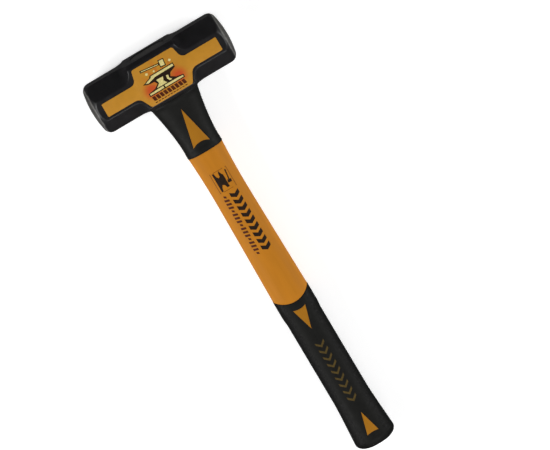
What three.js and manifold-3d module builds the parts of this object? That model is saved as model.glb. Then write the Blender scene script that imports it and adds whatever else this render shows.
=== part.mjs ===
// A short-handled sledgehammer: a forged octagonal head on a fibreglass-cored handle.
// Millimetres. +X runs from the head down the handle, +Y along the head, and +Z out of the
// labelled front cheek. The origin is the centre of the back cheek, which lies on the ground.
import * as THREE from 'three';
import { mergeVertices } from 'three/addons/utils/BufferGeometryUtils.js';
import Module from 'manifold-3d';

const wasm = await Module();
wasm.setup();

// ---- Joint lines --------------------------------------------------------------------------
const jointGap = 0.3;            // between bonded and overmoulded pieces
const adhesive = 0.05;           // under the label

// ---- Head ---------------------------------------------------------------------------------
const headLength = 137;          // from one striking face to the other
const acrossFlats = 45.8;        // octagonal poles, and the thickness through the cheeks
const eyeBlockProud = 0.1;       // the middle block stands this far above and below the poles
const eyeBlockLength = 46.8;     // the middle block, measured along the head
const eyeBlockChamfer = 3.5;
const scoopRadius = 9.5;         // hollow that ends each pole bevel at the middle block
const crownRadius = 87;          // the striking faces are slightly domed
const rimWidth = 4.1;            // the rounded rim round each striking face
const rimDepth = 4.6;

// ---- Handle, outside ----------------------------------------------------------------------
const overallLength = 406.4;     // top of the head to the butt
const shaftTop = { width: 34, thickness: 27 };
const shaftWaist = { width: 31.5, thickness: 24.6 };
const shaftBottom = { width: 34.5, thickness: 27.7 };
const waistBelowGuard = 42;

// ---- Overstrike guard ---------------------------------------------------------------------
const guardLength = 55.2;
const guardTop = { width: 46.4, thickness: 35.5 };
const guardProud = 0.1;          // its foot stands proud of the shaft
const guardLip = { length: 5, proud: 0.2 };
const guardCollar = { length: 2.6, proud: 0.45 };
const guardStep = 0.5;           // length of the slope down from the collar and from the lip
const guardWall = 1.8;           // at its foot, the thinnest place

// ---- Grip ---------------------------------------------------------------------------------
const gripLength = 156.8;
const gripBand = { length: 18, proud: 0.25, taper: 7 };
const gripStep = 0.65;          // the plain grip lies this far below the band
const gripWall = 2.1;
const gripFlare = { length: 42, width: 4.8, thickness: 4 };
const buttRound = 9.2;           // from the widest part of the butt to its end
const buttPower = 2.2;           // 2 would round the butt as an ellipse; more is blunter
const gripScallop = 7.3;         // how far the grip's top edge dips at the front and back
const buttWall = 9;              // overmould beyond the end of the jacket

// ---- Handle, inside -----------------------------------------------------------------------
const jacketWall = 2.2;          // round the core, at the thinnest place
const jacketEnd = 7;             // jacket beyond the end of the core
const spigotOverlap = 2;         // where the jacket's spigots run into its visible part
const resinLayer = { width: 3.5, thickness: 2.2 };
const eyeFlare = 1.5;            // each mouth of the eye is this much wider than its waist
const resinRecess = 0.8;         // resin surface below the top of the head
const resinCap = 2.5;            // resin over the end of the core
const damDepth = 3.5;            // seal ring in the lower mouth

// ---- Inlays: triangles with a dished base, set flush in the black mouldings --------------
const guardInlay = { fromTop: 10.8, fromFoot: 7.2, halfWidth: 8.3, dish: 2.8 };
const gripUpperInlay = { fromTop: 13.5, height: 22.1, halfWidth: 6.3, dish: 1.2 };
const gripLowerInlay = { fromButt: 13.7, height: 21.5, halfWidth: 5.8, dish: 0.9 };
const inlayPocket = 1.3;         // depth of the pocket that holds an inlay

// ---- Label --------------------------------------------------------------------------------
const labelThickness = 0.25;
const labelInset = 10.8;         // from each striking face
const labelMargin = { facet: 3.1, block: 0.9, end: 2.9 };
const labelShift = 0.6;          // it sits this far toward the handle
const labelSlope = { top: 13, foot: 26 };  // degrees that its middle panel's sides lean out
const labelShoulder = 4.8;       // radius where its middle panel meets its arms
const labelCorner = { arm: 0.9, panel: 1.6 };

// ---- Worked out ---------------------------------------------------------------------------
const flatDistance = acrossFlats / 2;
const halfFacet = flatDistance * Math.tan(Math.PI / 8);
const underHead = flatDistance + eyeBlockProud;
const topOfHead = -underHead;
const buttEnd = topOfHead + overallLength;
const guardStart = underHead + jointGap;
const guardEnd = guardStart + guardLength;
const shaftStart = guardEnd + jointGap;
const gripStart = buttEnd - gripLength;
const buttWidest = buttEnd - buttRound;
const flareStart = buttWidest - gripFlare.length;

const grown = (section, by) => ({
  width: section.width + 2 * by,
  thickness: section.thickness + 2 * by,
});
const guardFoot = grown(shaftTop, guardProud);
const gripBandSection = grown(shaftBottom, gripBand.proud);
const gripBody = grown(gripBandSection, -gripStep);
const gripButt = {
  width: gripBody.width + gripFlare.width,
  thickness: gripBody.thickness + gripFlare.thickness,
};
const jacketUnderGuard = grown(guardFoot, -guardWall - jointGap);
const jacketUnderGrip = grown(gripBody, -gripWall - jointGap);
const thinnest = (key) => Math.min(jacketUnderGuard[key], jacketUnderGrip[key], shaftWaist[key]);
const core = grown(
  { width: thinnest('width'), thickness: thinnest('thickness') },
  -jacketWall - jointGap,
);
const eyeWaist = {
  width: core.width + 2 * resinLayer.width,
  thickness: core.thickness + 2 * resinLayer.thickness,
};

const ovalSides = 40;            // facets round an oval section
const ovalPower = 2.4;           // 2 is an ellipse; more is a flatter front and back
const roundSides = 48;           // facets round the striking faces
const farOut = 60;               // well past the object, for cutting shapes

// Where each sweep bends, as a share of the way from its first section to its last.
const guardBend = 0.59;
const upperShaftBend = 0.52;
const lowerShaftBend = 0.11;
const flareBend = 0.2;
const sweepSteps = 5;
const buttShares = [0.3, 0.55, 0.75, 0.9, 0.985];  // sections along the butt's round

const finishes = {
  forgedSteel: { color: 0x232124, roughness: 0.55, metalness: 0.4 },
  fibreglass: { color: 0xd8cfae, roughness: 0.5, metalness: 0 },
  yellowJacket: { color: 0xb87620, roughness: 0.4, metalness: 0 },
  resin: { color: 0x2a2724, roughness: 0.3, metalness: 0 },
  foam: { color: 0x3a3a38, roughness: 0.95, metalness: 0 },
  blackRubber: { color: 0x1e1d1c, roughness: 0.75, metalness: 0 },
  yellowInlay: { color: 0xc08226, roughness: 0.5, metalness: 0 },
  label: { color: 0xb78228, roughness: 0.35, metalness: 0 },
};

// ---- Solids -------------------------------------------------------------------------------
function toSolid(geometry) {
  const bare = new THREE.BufferGeometry();
  bare.setAttribute('position', geometry.getAttribute('position'));
  bare.setIndex(geometry.getIndex());
  const merged = mergeVertices(bare);
  const index = merged.getIndex().array;
  const triangles = [];
  for (let i = 0; i < index.length; i += 3) {
    const [a, b, c] = index.slice(i, i + 3);
    if (a !== b && b !== c && c !== a) triangles.push(a, b, c);
  }
  return new wasm.Manifold(new wasm.Mesh({
    numProp: 3,
    vertProperties: merged.getAttribute('position').array,
    triVerts: Uint32Array.from(triangles),
  }));
}

function toMesh(name, solid, finish) {
  const mesh = solid.getMesh();
  const geometry = new THREE.BufferGeometry();
  geometry.setAttribute('position', new THREE.BufferAttribute(mesh.vertProperties, mesh.numProp));
  geometry.setIndex(new THREE.BufferAttribute(mesh.triVerts, 1));
  geometry.computeVertexNormals();
  const piece = new THREE.Mesh(geometry, new THREE.MeshStandardMaterial(finishes[finish]));
  piece.name = name;
  return piece;
}

// An outline drawn in X and Y, made solid from z = low to z = high.
function plate(outline, low, high) {
  const geometry = new THREE.ExtrudeGeometry(outline, {
    depth: high - low, bevelEnabled: false, curveSegments: 10,
  });
  geometry.translate(0, 0, low);
  return toSolid(geometry);
}

// An outline drawn in X and Z, made solid along the head and centred on it.
function headBar(outline, length) {
  const geometry = new THREE.ExtrudeGeometry(outline, { depth: length, bevelEnabled: false });
  geometry.translate(0, 0, -length / 2);
  geometry.rotateX(Math.PI / 2);
  return toSolid(geometry);
}

// A bar of oval section along the handle. Each station is [x, width, thickness].
function ovalBar(stations) {
  const rings = [
    [stations[0][0], 0, 0],
    ...stations,
    [stations.at(-1)[0], 0, 0],
  ];
  const profile = rings.map(([x, width]) => new THREE.Vector2(width / 2, x));
  const geometry = new THREE.LatheGeometry(profile, ovalSides);
  const position = geometry.getAttribute('position');
  const oval = (value) => Math.sign(value) * Math.abs(value) ** (2 / ovalPower);
  for (let i = 0; i < position.count; i += 1) {
    const [x, width, thickness] = rings[i % rings.length];
    const turn = (Math.floor(i / rings.length) % ovalSides) * 2 * Math.PI / ovalSides;
    position.setXYZ(i, x, width / 2 * oval(Math.cos(turn)), thickness / 2 * oval(Math.sin(turn)));
  }
  return toSolid(geometry);
}

function straightBar(from, to, section, grow = 0) {
  const { width, thickness } = grown(section, grow);
  return ovalBar([[from, width, thickness], [to, width, thickness]]);
}

function shrink(stations, depth) {
  return stations.map(([x, width, thickness]) => [x, width - 2 * depth, thickness - 2 * depth]);
}

// Stations that swing smoothly from one section to the next, level at the slimmer end.
function sweepSections(fromX, from, toX, to, bend) {
  const bendX = fromX + bend * (toX - fromX);
  const curve = (key) => new THREE.QuadraticBezierCurve(
    new THREE.Vector2(fromX, from[key]),
    new THREE.Vector2(bendX, Math.min(from[key], to[key])),
    new THREE.Vector2(toX, to[key]),
  ).getPoints(sweepSteps);
  const thickness = curve('thickness');
  return curve('width').map((point, i) => [point.x, point.y, thickness[i].y]);
}

// ---- Head ---------------------------------------------------------------------------------
function octagonOutline() {
  const f = flatDistance;
  const h = halfFacet;
  const corners = [[f, -h], [f, h], [h, f], [-h, f], [-f, h], [-f, -h], [-h, -f], [h, -f]];
  return new THREE.Shape(corners.map(([x, z]) => new THREE.Vector2(x, z)));
}

function blockOutline() {
  const x = underHead;
  const z = flatDistance;
  const c = eyeBlockChamfer;
  const corners = [
    [x, c - z], [x, z - c], [x - c, z], [c - x, z], [-x, z - c], [-x, c - z], [c - x, -z], [x - c, -z],
  ];
  return new THREE.Shape(corners.map(([px, pz]) => new THREE.Vector2(px, pz)));
}

// Where a scoop reaches along the head, from the pole bevel out to the block's chamfer.
const cornerDepth = (underHead + flatDistance - eyeBlockChamfer) / Math.SQRT2 - flatDistance;
const scoopReach = Math.sqrt(scoopRadius ** 2 - (scoopRadius - cornerDepth) ** 2);
const scoopCentre = eyeBlockLength / 2 + scoopReach;

// Seen from the front, the block's sides stand proud of the poles and ramp down to them.
function blockPlan() {
  const points = [
    [underHead, eyeBlockLength / 2], [flatDistance, scoopCentre],
    [-flatDistance, scoopCentre], [topOfHead, eyeBlockLength / 2],
  ];
  const mirrored = points.map(([x, y]) => [x, -y]).reverse();
  return new THREE.Shape([...points, ...mirrored].map(([x, y]) => new THREE.Vector2(x, y)));
}

function eyeBlock() {
  let block = headBar(blockOutline(), 2 * scoopCentre)
    .intersect(plate(blockPlan(), -flatDistance, flatDistance));
  for (const end of [-1, 1]) {
    for (let corner = 0; corner < 4; corner += 1) {
      const scoop = new THREE.CylinderGeometry(scoopRadius, scoopRadius, acrossFlats, 56);
      scoop.rotateX(Math.PI / 2);
      scoop.translate(flatDistance + scoopRadius, end * scoopCentre, 0);
      scoop.rotateY(Math.PI / 4 + corner * Math.PI / 2);
      block = block.subtract(toSolid(scoop));
    }
  }
  return block;
}

// The envelope that domes both striking faces and rounds their rims.
function crownedEnvelope() {
  const faceRadius = flatDistance - rimWidth;
  const crownHeight = (r) => headLength / 2 - crownRadius + Math.sqrt(crownRadius ** 2 - r ** 2);
  const dome = [0, faceRadius / 2, faceRadius].map((r) => new THREE.Vector2(r, crownHeight(r)));
  const rimStart = crownHeight(faceRadius);
  const rim = new THREE.QuadraticBezierCurve(
    new THREE.Vector2(faceRadius, rimStart),
    new THREE.Vector2(flatDistance, rimStart - rimDepth / 3),
    new THREE.Vector2(flatDistance + rimWidth / 2, rimStart - 1.5 * rimDepth),
  ).getPoints(sweepSteps).slice(1);
  const half = [...dome, ...rim, new THREE.Vector2(farOut, headLength / 2 - farOut)];
  const otherHalf = half.map(({ x, y }) => new THREE.Vector2(x, -y));
  return toSolid(new THREE.LatheGeometry([...otherHalf, ...half.reverse()], roundSides));
}

function eyeHollow(grow, from, to) {
  const mouth = { width: eyeWaist.width + 2 * eyeFlare, thickness: eyeWaist.thickness + 2 * eyeFlare };
  const stations = [
    [topOfHead - farOut, mouth.width, mouth.thickness],
    [topOfHead, mouth.width, mouth.thickness],
    [0, eyeWaist.width, eyeWaist.thickness],
    [underHead, mouth.width, mouth.thickness],
    [underHead + farOut, mouth.width, mouth.thickness],
  ];
  const slab = new THREE.BoxGeometry(to - from, 2 * farOut, 2 * farOut);
  slab.translate((from + to) / 2, 0, 0);
  return ovalBar(shrink(stations, -grow)).intersect(toSolid(slab));
}

function head() {
  return headBar(octagonOutline(), headLength)
    .add(eyeBlock())
    .intersect(crownedEnvelope())
    .subtract(eyeHollow(0, topOfHead - 1, underHead + 1));
}

// ---- Inside the eye -----------------------------------------------------------------------
const resinTop = topOfHead + resinRecess;
const coreTop = resinTop + resinCap;
const damTop = underHead - damDepth;

function coreRod() {
  return straightBar(coreTop, buttEnd - buttWall - jacketEnd - jointGap, core);
}

function eyeFilling(from, to) {
  const coreHole = straightBar(coreTop - jointGap, underHead + 1, core, jointGap);
  return eyeHollow(-jointGap, from, to).subtract(coreHole);
}

// ---- Jacket -------------------------------------------------------------------------------
// The grip's top edge has a round-nosed dip at the front and the back. This outline covers
// everything above that edge, drawn back from it by a gap.
function aboveGripOutline(gap) {
  const chord = gripBandSection.width / 2;
  const noseRadius = (chord ** 2 + gripScallop ** 2) / (2 * gripScallop);
  const spread = Math.asin(chord / noseRadius);
  const outline = new THREE.Shape();
  outline.moveTo(0, -farOut);
  outline.lineTo(gripStart - gap, -farOut);
  outline.absarc(gripStart + gripScallop - noseRadius, 0, noseRadius - gap, -spread, spread, false);
  outline.lineTo(gripStart - gap, farOut);
  outline.lineTo(0, farOut);
  return outline;
}

function shaftStations() {
  const waistX = guardEnd + waistBelowGuard;
  const upper = sweepSections(shaftStart, shaftTop, waistX, shaftWaist, upperShaftBend);
  const lower = sweepSections(waistX, shaftWaist, gripStart, shaftBottom, lowerShaftBend);
  const end = [gripStart + gripScallop, shaftBottom.width, shaftBottom.thickness];
  return [...upper, ...lower.slice(1), end];
}

function shaftJacket() {
  const visible = ovalBar(shaftStations()).intersect(plate(aboveGripOutline(jointGap), -farOut, farOut));
  const coreHole = straightBar(guardStart - 1, buttEnd - buttWall - jacketEnd, core, jointGap);
  return visible
    .add(straightBar(guardStart, shaftStart + spigotOverlap, jacketUnderGuard))
    .add(straightBar(gripStart - spigotOverlap, buttEnd - buttWall, jacketUnderGrip))
    .subtract(coreHole);
}

// ---- Inlays -------------------------------------------------------------------------------
// A triangle with a dished base. A positive gap draws it in evenly about its inscribed circle.
function inlayOutline({ apex, base, halfWidth, dish }, gap) {
  const height = Math.abs(base - apex);
  const towardApex = Math.sign(apex - base);
  const inradius = halfWidth * height / (Math.hypot(height, halfWidth) + halfWidth);
  const centre = base + towardApex * inradius;
  const scale = 1 - gap / inradius;
  const place = (x) => centre + scale * (x - centre);
  const outline = new THREE.Shape();
  outline.moveTo(place(base), -scale * halfWidth);
  outline.quadraticCurveTo(place(base + towardApex * 2 * dish), 0, place(base), scale * halfWidth);
  outline.lineTo(place(apex), 0);
  return outline;
}

function inlayRegion(inlay, side, gap) {
  const reach = [0, side * farOut].sort((a, b) => a - b);
  return plate(inlayOutline(inlay, gap), ...reach);
}

function cutPocket(moulding, stations, inlay) {
  const floor = ovalBar(shrink(stations, inlayPocket));
  const pocket = (side) => inlayRegion(inlay, side, 0).subtract(floor);
  return moulding.subtract(pocket(1)).subtract(pocket(-1));
}

function inlayPiece(stations, inlay, side) {
  return ovalBar(stations)
    .intersect(inlayRegion(inlay, side, jointGap))
    .subtract(ovalBar(shrink(stations, inlayPocket - jointGap)));
}

// ---- Overstrike guard ---------------------------------------------------------------------
function guardStations() {
  const collar = grown(guardTop, guardCollar.proud);
  const lip = grown(guardFoot, guardLip.proud);
  const flareTop = guardStart + guardCollar.length;
  const flareFoot = guardEnd - guardLip.length;
  const flare = sweepSections(flareTop, guardTop, flareFoot, guardFoot, guardBend);
  return [
    [guardStart, collar.width, collar.thickness],
    [flareTop - guardStep, collar.width, collar.thickness],
    ...flare,
    [flareFoot + guardStep, lip.width, lip.thickness],
    [guardEnd, lip.width, lip.thickness],
  ];
}

const guardWindow = {
  apex: guardStart + guardInlay.fromTop,
  base: guardEnd - guardInlay.fromFoot,
  halfWidth: guardInlay.halfWidth,
  dish: guardInlay.dish,
};

function overstrikeGuard() {
  const tube = ovalBar(guardStations())
    .subtract(straightBar(guardStart - 1, guardEnd + 1, jacketUnderGuard, jointGap));
  return cutPocket(tube, guardStations(), guardWindow);
}

// ---- Grip ---------------------------------------------------------------------------------
function gripStations() {
  const band = gripBandSection;
  const bandEnd = gripStart + gripBand.length;
  const flare = sweepSections(flareStart, gripBody, buttWidest, gripButt, flareBend);
  const butt = buttShares.map((share) => {
    const scale = (1 - share ** buttPower) ** (1 / ovalPower);
    return [buttWidest + share * buttRound, gripButt.width * scale, gripButt.thickness * scale];
  });
  const [, endWidth, endThickness] = butt.at(-1);
  return [
    [gripStart, band.width, band.thickness],
    [bandEnd, band.width, band.thickness],
    [bandEnd + gripBand.taper, gripBody.width, gripBody.thickness],
    ...flare,
    ...butt,
    [buttEnd, endWidth / 2, endThickness / 2],
  ];
}

const upperWindow = {
  apex: gripStart + gripUpperInlay.fromTop + gripUpperInlay.height,
  base: gripStart + gripUpperInlay.fromTop,
  halfWidth: gripUpperInlay.halfWidth,
  dish: gripUpperInlay.dish,
};
const lowerWindow = {
  apex: buttEnd - gripLowerInlay.fromButt - gripLowerInlay.height,
  base: buttEnd - gripLowerInlay.fromButt,
  halfWidth: gripLowerInlay.halfWidth,
  dish: gripLowerInlay.dish,
};

function gripSleeve() {
  const hollow = straightBar(gripStart - 1, buttEnd - buttWall + jointGap, jacketUnderGrip, jointGap);
  const sleeve = ovalBar(gripStations())
    .subtract(hollow)
    .subtract(plate(aboveGripOutline(0), -farOut, farOut));
  return cutPocket(cutPocket(sleeve, gripStations(), upperWindow), gripStations(), lowerWindow);
}

// ---- Label --------------------------------------------------------------------------------
function arc(centreX, centreY, radius, from, to) {
  return Array.from({ length: sweepSteps + 1 }, (_, i) => {
    const angle = from + (to - from) * i / sweepSteps;
    return [centreX + radius * Math.cos(angle), centreY + radius * Math.sin(angle)];
  });
}

// A quarter of the label, from the end of an arm to the edge of the middle panel. The panel's
// side leans out by a slope, and meets the arm in a hollow shoulder.
function labelQuarter(slope) {
  const armHalf = halfFacet - labelMargin.facet;
  const armEnd = headLength / 2 - labelInset;
  const panelHalf = underHead - eyeBlockChamfer - labelMargin.block;
  const panelCorner = eyeBlockLength / 2 - labelMargin.end;
  const c = labelCorner.arm;
  const p = labelCorner.panel;
  const r = labelShoulder;
  const sideDistance = (x, offset) => (
    panelCorner + (offset + (panelHalf - x) * Math.sin(slope)) / Math.cos(slope)
  );
  return [
    ...arc(armHalf - c, armEnd - c, c, Math.PI / 2, 0),
    ...arc(armHalf + r, sideDistance(armHalf + r, r), r, Math.PI, 1.5 * Math.PI - slope),
    ...arc(panelHalf - p, sideDistance(panelHalf - p, -p), p, Math.PI / 2 - slope, 0),
  ];
}

// A middle panel on the eye block and an arm along each pole's front facet.
function labelOutline() {
  const foot = labelQuarter(THREE.MathUtils.degToRad(labelSlope.foot));
  const top = labelQuarter(THREE.MathUtils.degToRad(labelSlope.top));
  const mirrored = (points, signX, signY) => points.map(([x, y]) => [signX * x, signY * y]);
  const around = [
    ...foot,
    ...mirrored([...foot].reverse(), 1, -1),
    ...mirrored(top, -1, -1),
    ...mirrored([...top].reverse(), -1, 1),
  ];
  return new THREE.Shape(around.map(([x, y]) => new THREE.Vector2(x + labelShift, y)));
}

function cheekLabel() {
  const under = flatDistance + adhesive;
  return plate(labelOutline(), under, under + labelThickness);
}

// ---- Assembly, with the handle's axis at the middle of the head's thickness ---------------
const hammer = new THREE.Group();
hammer.position.z = flatDistance;
hammer.add(toMesh('head', head(), 'forgedSteel'));
hammer.add(toMesh('core_rod', coreRod(), 'fibreglass'));
hammer.add(toMesh('eye_resin', eyeFilling(resinTop, damTop - jointGap), 'resin'));
hammer.add(toMesh('eye_dam', eyeFilling(damTop, underHead), 'foam'));
hammer.add(toMesh('shaft_jacket', shaftJacket(), 'yellowJacket'));
hammer.add(toMesh('overstrike_guard', overstrikeGuard(), 'blackRubber'));
hammer.add(toMesh('grip_sleeve', gripSleeve(), 'blackRubber'));
for (const [face, side] of [['front', 1], ['back', -1]]) {
  const inlays = {
    guard_inlay: inlayPiece(guardStations(), guardWindow, side),
    grip_upper_inlay: inlayPiece(gripStations(), upperWindow, side),
    grip_lower_inlay: inlayPiece(gripStations(), lowerWindow, side),
  };
  for (const [name, solid] of Object.entries(inlays)) {
    hammer.add(toMesh(`${name}_${face}`, solid, 'yellowInlay'));
  }
}
hammer.add(toMesh('cheek_label', cheekLabel(), 'label'));

export default new THREE.Group().add(hammer);
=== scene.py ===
"""A short-handled sledgehammer: a lacquered drop-forged head on an overmoulded fibreglass handle.

+X runs from the head down the handle, +Y along the head and +Z out of the labelled cheek.
"""
import math

import bmesh
import bpy
from mathutils import Matrix, Vector


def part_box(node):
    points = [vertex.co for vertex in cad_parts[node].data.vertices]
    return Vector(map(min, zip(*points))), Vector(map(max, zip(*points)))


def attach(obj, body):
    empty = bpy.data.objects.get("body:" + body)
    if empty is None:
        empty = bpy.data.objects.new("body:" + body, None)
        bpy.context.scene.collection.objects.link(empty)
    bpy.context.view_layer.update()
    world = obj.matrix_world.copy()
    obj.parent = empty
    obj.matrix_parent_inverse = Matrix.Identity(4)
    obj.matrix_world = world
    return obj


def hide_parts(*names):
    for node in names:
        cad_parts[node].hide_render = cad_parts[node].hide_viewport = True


bl_info = {
    "name": "Sledgehammer",
    "version": (1, 0, 0),
    "blender": (4, 5, 0),
    "location": "3D View > Sidebar > Sledgehammer",
    "description": "Models a sledgehammer piece by piece around its packed frame",
    "category": "Object",
}

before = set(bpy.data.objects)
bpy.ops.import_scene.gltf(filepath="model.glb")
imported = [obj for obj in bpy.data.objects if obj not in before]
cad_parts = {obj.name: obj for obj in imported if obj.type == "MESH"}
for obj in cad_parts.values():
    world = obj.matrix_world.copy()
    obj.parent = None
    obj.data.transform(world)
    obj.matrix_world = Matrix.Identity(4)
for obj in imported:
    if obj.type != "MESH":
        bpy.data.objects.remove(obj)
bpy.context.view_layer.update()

MM = 0.001
BODY = "root"
HEAD_LOW, HEAD_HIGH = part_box("head")
GUARD_LOW, GUARD_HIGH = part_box("overstrike_guard")
GRIP_LOW, GRIP_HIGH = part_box("grip_sleeve")
JACKET_LOW, JACKET_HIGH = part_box("shaft_jacket")
LABEL_LOW, LABEL_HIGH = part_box("cheek_label")
AXIS_Z = (HEAD_LOW.z + HEAD_HIGH.z) / 2
FAR = 60 * MM                # well past the object, for cutting shapes

# A vertex bevel with this profile turns a rectangle into an oval of power 2.4, which is a
# little flatter in front and behind than an ellipse.
OVAL_PROFILE = 0.5613
OVAL_SEGMENTS = 24           # to a quarter of an oval
OVAL_POWER = 2.4
BUTT_POWER = 2.2             # of the butt's round, a little blunter than an ellipse
BUTT_SHARES = (0.15, 0.3, 0.45, 0.6, 0.72, 0.82, 0.9, 0.955, 0.985)  # sections along it

# Where each sweep bends, as a share of the way from its first section to its last.
GUARD_BEND = 0.59
UPPER_SHAFT_BEND = 0.52
LOWER_SHAFT_BEND = 0.11
FLARE_BEND = 0.2

OVERLAP = 2 * MM             # how far shapes run into or past each other before they are joined
CLOSE = 0.1 * MM             # places nearer than this count as the same
INLAY_EDGE = 0.2 * MM        # rounding along the inlays' edges
LABEL_EDGE = 0.08 * MM       # rounding along the label's edges


# ---- Colours and properties ---------------------------------------------------------------
def linear(hex_colour):
    """An sRGB colour, such as 0xB87621, as linear red, green, blue and alpha."""
    channels = [(hex_colour >> shift & 255) / 255 for shift in (16, 8, 0)]
    scene = [c / 12.92 if c <= 0.04045 else ((c + 0.055) / 1.055) ** 2.4 for c in channels]
    return (*scene, 1.0)


def length(name, description, millimetres):
    return bpy.props.FloatProperty(
        name=name, description=description, default=millimetres * MM, unit="LENGTH", precision=4)


def section(name, description, width, thickness):
    return bpy.props.FloatVectorProperty(
        name=name, description=description, default=(width * MM, thickness * MM),
        size=2, unit="LENGTH", precision=4)


def colour(name, description, hex_colour):
    return bpy.props.FloatVectorProperty(
        name=name, description=description, default=linear(hex_colour),
        size=4, min=0, max=1, subtype="COLOR")


class HeadSizes(bpy.types.PropertyGroup):
    block_proud: length("Block proud", "How far the eye block stands above the poles", 0.1)
    block_length: length("Block length", "Flat part of the eye block, along the head", 46.8)
    block_chamfer: length("Block chamfer", "Chamfer along the eye block's corners", 3.5)
    scoop_radius: length("Scoop radius", "Hollow that ends each pole bevel at the block", 9.5)
    crown_radius: length("Crown radius", "Dome of the striking faces", 87)
    rim_width: length("Rim width", "Width of the rounded rim of a striking face", 4.1)
    rim_depth: length("Rim depth", "Depth of the rounded rim along the head", 4.6)
    eye_waist: section("Eye waist", "The eye at the middle of the head", 30.9, 21.5)
    eye_flare: length("Eye flare", "How far each mouth of the eye opens per side", 1.5)
    grain: length("Mesh grain", "Size of the mesh facets that round the forged edges", 0.59)
    bare_steel: length("Bare rim", "Unpainted steel at each end of the head", 3.7)


class HandleSizes(bpy.types.PropertyGroup):
    guard_top: section("Guard top", "Guard at the head", 46.4, 35.5)
    shaft_top: section("Shaft top", "Jacket just below the guard", 34, 27)
    shaft_waist: section("Shaft waist", "Jacket at its slimmest", 31.5, 24.6)
    shaft_bottom: section("Shaft bottom", "Jacket at the grip", 34.5, 27.7)
    waist_below_guard: length("Waist position", "From the guard to the slimmest place", 42)
    guard_proud: length("Guard proud", "How far the guard's foot stands above the jacket", 0.1)
    lip_length: length("Guard lip", "Length of the raised lip at the guard's foot", 5)
    lip_proud: length("Lip height", "Height of that lip", 0.2)
    collar_length: length("Guard collar", "Length of the collar against the head", 2.6)
    collar_proud: length("Collar height", "Height of that collar", 0.45)
    guard_wall: length("Guard wall", "Rubber at the guard's foot", 1.8)
    band_length: length("Grip band", "Length of the raised band at the grip's top", 18)
    band_proud: length("Band height", "How far the band stands above the jacket", 0.25)
    band_taper: length("Band taper", "Length of the slope at the band's foot", 7)
    grip_step: length("Grip step", "How far the grip lies below its band", 0.65)
    grip_wall: length("Grip wall", "Rubber on the plain part of the grip", 2.1)
    flare_length: length("Butt flare", "Length of the flare toward the butt", 42)
    flare_growth: section("Flare growth", "How much the butt is wider and thicker", 4.8, 4)
    butt_round: length("Butt round", "From the widest part of the butt to its end", 9.2)
    scallop: length("Grip scallop", "Dip of the grip's top edge, front and back", 7.3)
    joint_gap: length("Joint gap", "Between neighbouring mouldings", 0.3)
    pocket: length("Inlay pocket", "Depth of the pocket that holds an inlay", 1.3)
    edge: length("Moulded edge", "Rounding along the edges of the mouldings", 0.25)


class InlaySizes(bpy.types.PropertyGroup):
    guard_from_top: length("Guard inlay", "From the guard's top to the triangle's tip", 10.8)
    guard_from_foot: length("Guard inlay foot", "From its base to the guard's foot", 7.2)
    guard_half: length("Guard inlay half width", "Half the base of the guard's triangle", 8.3)
    guard_dish: length("Guard inlay dish", "How far its base is dished", 2.8)
    upper_from_top: length("Upper inlay", "From the grip's top to the triangle's base", 13.5)
    upper_height: length("Upper inlay height", "From base to tip", 22.1)
    upper_half: length("Upper inlay half width", "Half of its base", 6.3)
    upper_dish: length("Upper inlay dish", "How far its base is dished", 1.2)
    lower_from_butt: length("Lower inlay", "From the butt to the triangle's base", 13.7)
    lower_height: length("Lower inlay height", "From base to tip", 21.5)
    lower_half: length("Lower inlay half width", "Half of its base", 5.8)
    lower_dish: length("Lower inlay dish", "How far its base is dished", 0.9)
    gap: length("Inlay gap", "Between an inlay and its pocket", 0.12)


class LabelSizes(bpy.types.PropertyGroup):
    arm_half: length("Arm half width", "Half the width of the label's arms", 6.39)
    corner_reach: length("Panel corner", "From the middle to a corner of the panel", 20.5)
    top_slope: length("Top slope", "How far the panel widens from its top to the arms", 2.9)
    foot_slope: length("Foot slope", "How far the panel widens from its foot to the arms", 6.1)
    shoulder: length("Shoulder", "Length of the hollow where the panel meets an arm", 4.2)
    corner: length("Corner", "Rounding of the arms' corners", 0.9)
    panel_corner: length("Panel rounding", "Rounding of the panel's corners", 1.6)
    ink: length("Ink", "Thickness of the printed ink, drawn thicker than it is", 0.03)


class Colours(bpy.types.PropertyGroup):
    lacquer: colour("Lacquer", "Black lacquer on the head", 0x111012)
    steel: colour("Steel", "Ground steel of the striking faces", 0xAAA8A4)
    jacket: colour("Jacket", "Yellow plastic of the shaft", 0xB47320)
    # The triangles are the jacket's yellow plastic; this darker tone of it is painted shade.
    inlay: colour("Inlay", "Yellow plastic of the triangles", 0x9C681C)
    rubber: colour("Rubber", "Black rubber of the guard and grip", 0x0F0F0D)
    label: colour("Label", "Printed ground of the label", 0xB47E25)
    ink_black: colour("Black ink", "The heavy print", 0x21160E)
    ink_brown: colour("Brown ink", "The light print", 0x4A2210)
    ink_pale: colour("Pale ink", "The light parts of the emblem", 0xC8BC7C)
    ink_red: colour("Red ink", "The glow behind the emblem", 0xB5401C)
    gold: colour("Gold ink", "The faint mark on the grip", 0x4A3C1C)
    floor: colour("Floor", "The studio floor", 0xDCDCDC)


# ---- Modelling helpers --------------------------------------------------------------------
def start(name, add_primitive, **settings):
    """Adds a primitive with nothing else selected, and puts its place into its mesh."""
    if bpy.context.mode != "OBJECT":
        bpy.ops.object.mode_set(mode="OBJECT")
    bpy.ops.object.select_all(action="DESELECT")
    add_primitive(**settings)
    piece = bpy.context.object
    piece.name = name
    piece.data.name = name
    bpy.ops.object.transform_apply(location=True, rotation=True, scale=True)
    return piece


def take(piece):
    """Makes one object the only one selected, in object mode."""
    if bpy.context.mode != "OBJECT":
        bpy.ops.object.mode_set(mode="OBJECT")
    bpy.ops.object.select_all(action="DESELECT")
    piece.select_set(True)
    bpy.context.view_layer.objects.active = piece


def edit(piece):
    take(piece)
    bpy.ops.object.mode_set(mode="EDIT")
    bpy.ops.mesh.select_all(action="SELECT")


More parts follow.
